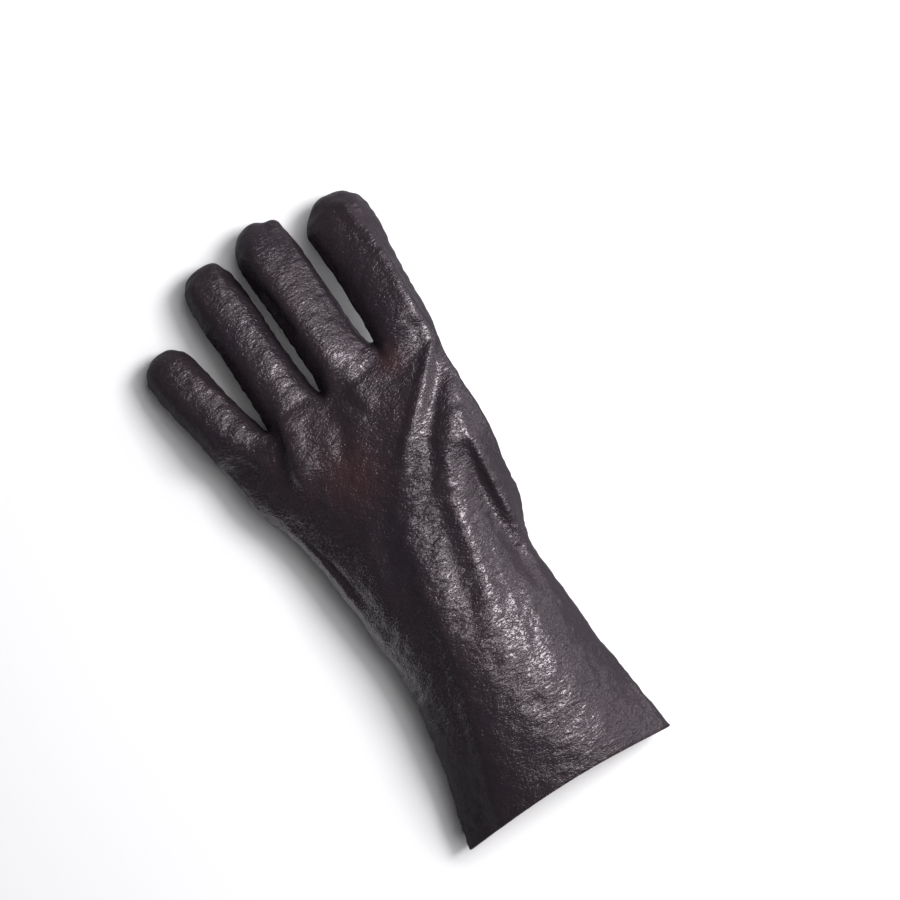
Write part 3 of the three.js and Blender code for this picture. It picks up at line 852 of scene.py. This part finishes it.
def makeKnit():
    material, tree, shader = newMaterial("knitLiner")
    place = addNode(tree, "ShaderNodeUVMap", uv_map="knit")
    parts = addNode(tree, "ShaderNodeSeparateXYZ")
    link(tree, place.outputs[0], parts.inputs[0])
    across, along = parts.outputs[0], parts.outputs[1]
    # each wale is a column of V-shaped loops
    inWale = mathNode(tree, "PINGPONG", across, 0.5)
    slanted = mathNode(tree, "ADD", along, mathNode(tree, "MULTIPLY", inWale, knit["slant"]))
    strand = mathNode(tree, "SINE", mathNode(tree, "MULTIPLY", slanted, 2 * math.pi))
    strand = mathNode(tree, "MULTIPLY", mathNode(tree, "ADD", strand, 1.0), 0.5)
    ridge = mathNode(tree, "SINE", mathNode(tree, "MULTIPLY", inWale, 2 * math.pi))
    strand = mathNode(tree, "MULTIPLY", strand, knit["strandShare"])
    strand = mathNode(tree, "ADD", strand, 1 - knit["strandShare"])
    height = mathNode(tree, "MULTIPLY", strand, ridge)
    tone = useGroup(
        tree, unevenTone,
        {"Tone": knit["yarn"], "Other tone": knit["shadeYarn"], "Size": knit["toneSize"] * mm},
    )
    # painted shade: the lower the knit's relief, the darker the yarn is painted, so the hollows between the
    # loops read as shaded
    deep = addNode(tree, "ShaderNodeMix", {6: knit["paintedShadeBetweenLoops"]}, data_type="RGBA")
    link(tree, height, deep.inputs["Factor"])
    link(tree, tone.outputs["Color"], deep.inputs[7])
    link(tree, deep.outputs[2], shader.inputs["Base Color"])
    fuzz = useGroup(tree, pebbleGrain, knit["fuzz"])
    fuzzHeight = mathNode(tree, "MULTIPLY", fuzz.outputs["Height"], knit["fuzzHigh"])
    total = mathNode(tree, "ADD", height, fuzzHeight)
    bump = addNode(tree, "ShaderNodeBump", {"Strength": 1.0, "Distance": knit["loopDepth"] * mm})
    link(tree, total, bump.inputs["Height"])
    link(tree, bump.outputs[0], shader.inputs["Normal"])
    for key, value in knit["surface"].items():
        shader.inputs[key].default_value = value
    return material


# The coating: one closed shell with a rounded lip at the hem
coat = {"wall": 1.5, "lip": 0.45, "lipRows": (0.12, 0.5, 0.88)}


def makeCoating(skin):
    layers = [skin["points"], setInBy(skin, coat["wall"])]
    for share in coat["lipRows"]:  # rows across the wall round the lip off
        bulge = coat["lip"] * math.sin(math.pi * share)
        lip = setInBy(skin, coat["wall"] * share)
        lip[:, 1] -= bulge
        layers.append(lip)
    piece = shellMesh(
        "gloveCoating", layers, skin["faces"], skin["rim"], skin["shift"], rimMaterial=1
    )
    piece.data.materials.append(makePvc(skin["shift"]))
    piece.data.materials.append(makeCutEdge())
    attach(piece, "root")
    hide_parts("coating")
    print("coating made:", len(piece.data.polygons), "faces")


def makeLining(skin):
    # the part of the skin near the hem, as its own two layers
    faces = skin["faces"]
    near = faces[skin["points"][faces][:, :, 1].mean(1) < knit["reach"]]
    used = np.unique(near)
    renamed = np.zeros(len(skin["points"]), int)
    renamed[used] = np.arange(len(used))
    band = {"points": skin["points"][used], "normals": skin["normals"][used]}
    bandFaces = renamed[near]
    depth = coat["wall"] + knit["gap"]
    layers = [setInBy(band, depth), setInBy(band, depth + knit["wall"])]
    back = knit["inset"] * (1 - band["points"][:, 1] / knit["reach"])
    for layer in layers:
        layer[:, 1] += back
    piece = shellMesh("gloveLining", layers, bandFaces, rimEdges(bandFaces), skin["shift"])
    # UVs that count wales and courses
    mesh = piece.data
    wales = round(knit["girth"] * hand["cuffWidth"] / knit["waleWidth"])
    across = skin["around"][used] / ringPoints * wales
    flat = np.stack([across, band["points"][:, 1] / knit["courseHeight"]], 1)
    perPoint = np.vstack([flat, flat])
    layer = mesh.uv_layers.new(name="knit")
    corners = np.zeros(len(mesh.loops), int)
    mesh.loops.foreach_get("vertex_index", corners)
    layer.data.foreach_set("uv", perPoint[corners].ravel())
    mesh.materials.append(makeKnit())
    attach(piece, "root")
    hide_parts("lining")
    print("lining made:", len(mesh.polygons), "faces")


skin = moldSkin()
print("skin moulded:", len(skin["points"]), "points")
makeCoating(skin)
makeLining(skin)

# The camera stands straight over the glove, turned as the photograph is
view = {
    "over": (35.3, 157.7),
    "height": 1741,
    "lens": 150,
    "sensor": 36,
    "turn": -32,
    "farthest": 20,  # metres
}


def makeCamera():
    data = bpy.data.cameras.new("camera")
    data.lens = view["lens"]
    data.sensor_width = view["sensor"]
    data.clip_end = view["farthest"]
    camera = bpy.data.objects.new("camera", data)
    x, y = view["over"][0] - skin["shift"][0], view["over"][1] - skin["shift"][1]
    camera.location = (x * mm, y * mm, view["height"] * mm)
    camera.rotation_euler = (0, 0, math.radians(view["turn"]))
    bpy.context.collection.objects.link(camera)
    bpy.context.scene.camera = camera


# A pale floor, a big soft box over the thumb's side with two strips and a low panel, and a weak
# fill from all round. Metres and watts.
studio = {
    "floor": (0.84, 0.84, 0.845, 1),
    "floorHalf": 4,
    "floorDrop": 0.0002,
    "floorRoughness": 0.85,
    "litPlace": (-0.085, -0.015, 0.0),  # middle of the oval of ground that the gloss mirrors
    "litGround": (0.055, 0.06, 1.0),  # its half axes
    "litEdge": (0.8, 1.3),  # where it starts to fade and where it has gone, in half axes
    "farGround": (0.16, 0.16, 0.17, 1),
    "world": (0.05, 0.048, 0.052, 1),
    "lights": [
        # name, place, aimed at, size, power, colour
        ("softBox", (0.84, -0.03, 1.0), (0.0, 0.0, 0.0), (2.1, 1.5), 17, (1.0, 0.99, 1.0)),
        ("upperStrip", (0.24, -0.06, 1.28), (0.0, 0.0, 0.0), (0.35, 0.7), 3.5, (1.0, 0.99, 1.0)),
        ("sideStrip", (0.76, -0.04, 1.05), (0.0, 0.0, 0.0), (0.5, 0.46), 15.0, (1.0, 0.99, 1.0)),
        ("lowPanel", (1.3, -0.02, 0.19), (0.0, 0.0, 0.02), (1.5, 0.34), 3.4, (0.98, 0.98, 1.0)),
    ],
}


def makeStudio():
    mesh = bpy.data.meshes.new("floor")
    half = studio["floorHalf"]
    corners = [(-half, -half, 0), (half, -half, 0), (half, half, 0), (-half, half, 0)]
    mesh.from_pydata(corners, [], [(0, 1, 2, 3)])
    floor = bpy.data.objects.new("floor", mesh)
    floor.location.z = -studio["floorDrop"]
    bpy.context.collection.objects.link(floor)
    material, tree, shader = newMaterial("paleFloor")
    # only the lit ground beside the wrist shows in the glove's gloss, what lies further off is dark
    place = addNode(tree, "ShaderNodeTexCoord").outputs["Object"]
    middle = addNode(tree, "ShaderNodeVectorMath", {1: studio["litPlace"]}, operation="SUBTRACT")
    link(tree, place, middle.inputs[0])
    oval = addNode(tree, "ShaderNodeVectorMath", {1: studio["litGround"]}, operation="DIVIDE")
    link(tree, middle.outputs[0], oval.inputs[0])
    away = addNode(tree, "ShaderNodeVectorMath", operation="LENGTH")
    link(tree, oval.outputs[0], away.inputs[0])
    far = addNode(
        tree, "ShaderNodeMapRange",
        {"From Min": studio["litEdge"][0], "From Max": studio["litEdge"][1]},
        interpolation_type="SMOOTHSTEP",
    )
    link(tree, away.outputs["Value"], far.inputs["Value"])
    mirrored = addNode(tree, "ShaderNodeLightPath").outputs["Is Glossy Ray"]
    dimmed = addNode(
        tree, "ShaderNodeMix", {6: studio["floor"], 7: studio["farGround"]}, data_type="RGBA"
    )
    link(tree, mathNode(tree, "MULTIPLY", far.outputs[0], mirrored), dimmed.inputs["Factor"])
    link(tree, dimmed.outputs[2], shader.inputs["Base Color"])
    shader.inputs["Roughness"].default_value = studio["floorRoughness"]
    mesh.materials.append(material)
    for name, place, target, size, power, color in studio["lights"]:
        data = bpy.data.lights.new(name, "AREA")
        data.shape = "RECTANGLE"
        data.size, data.size_y = size
        data.energy = power
        data.color = color
        lamp = bpy.data.objects.new(name, data)
        lamp.location = place
        lamp.rotation_euler = (Vector(target) - Vector(place)).to_track_quat("-Z", "Y").to_euler()
        lamp.visible_camera = False
        bpy.context.collection.objects.link(lamp)
    world = bpy.data.worlds.new("studio")
    world.use_nodes = True
    world.node_tree.nodes["Background"].inputs["Color"].default_value = studio["world"]
    bpy.context.scene.world = world
    bpy.context.scene.view_settings.view_transform = "Standard"


makeCamera()
makeStudio()
print("camera and studio set")
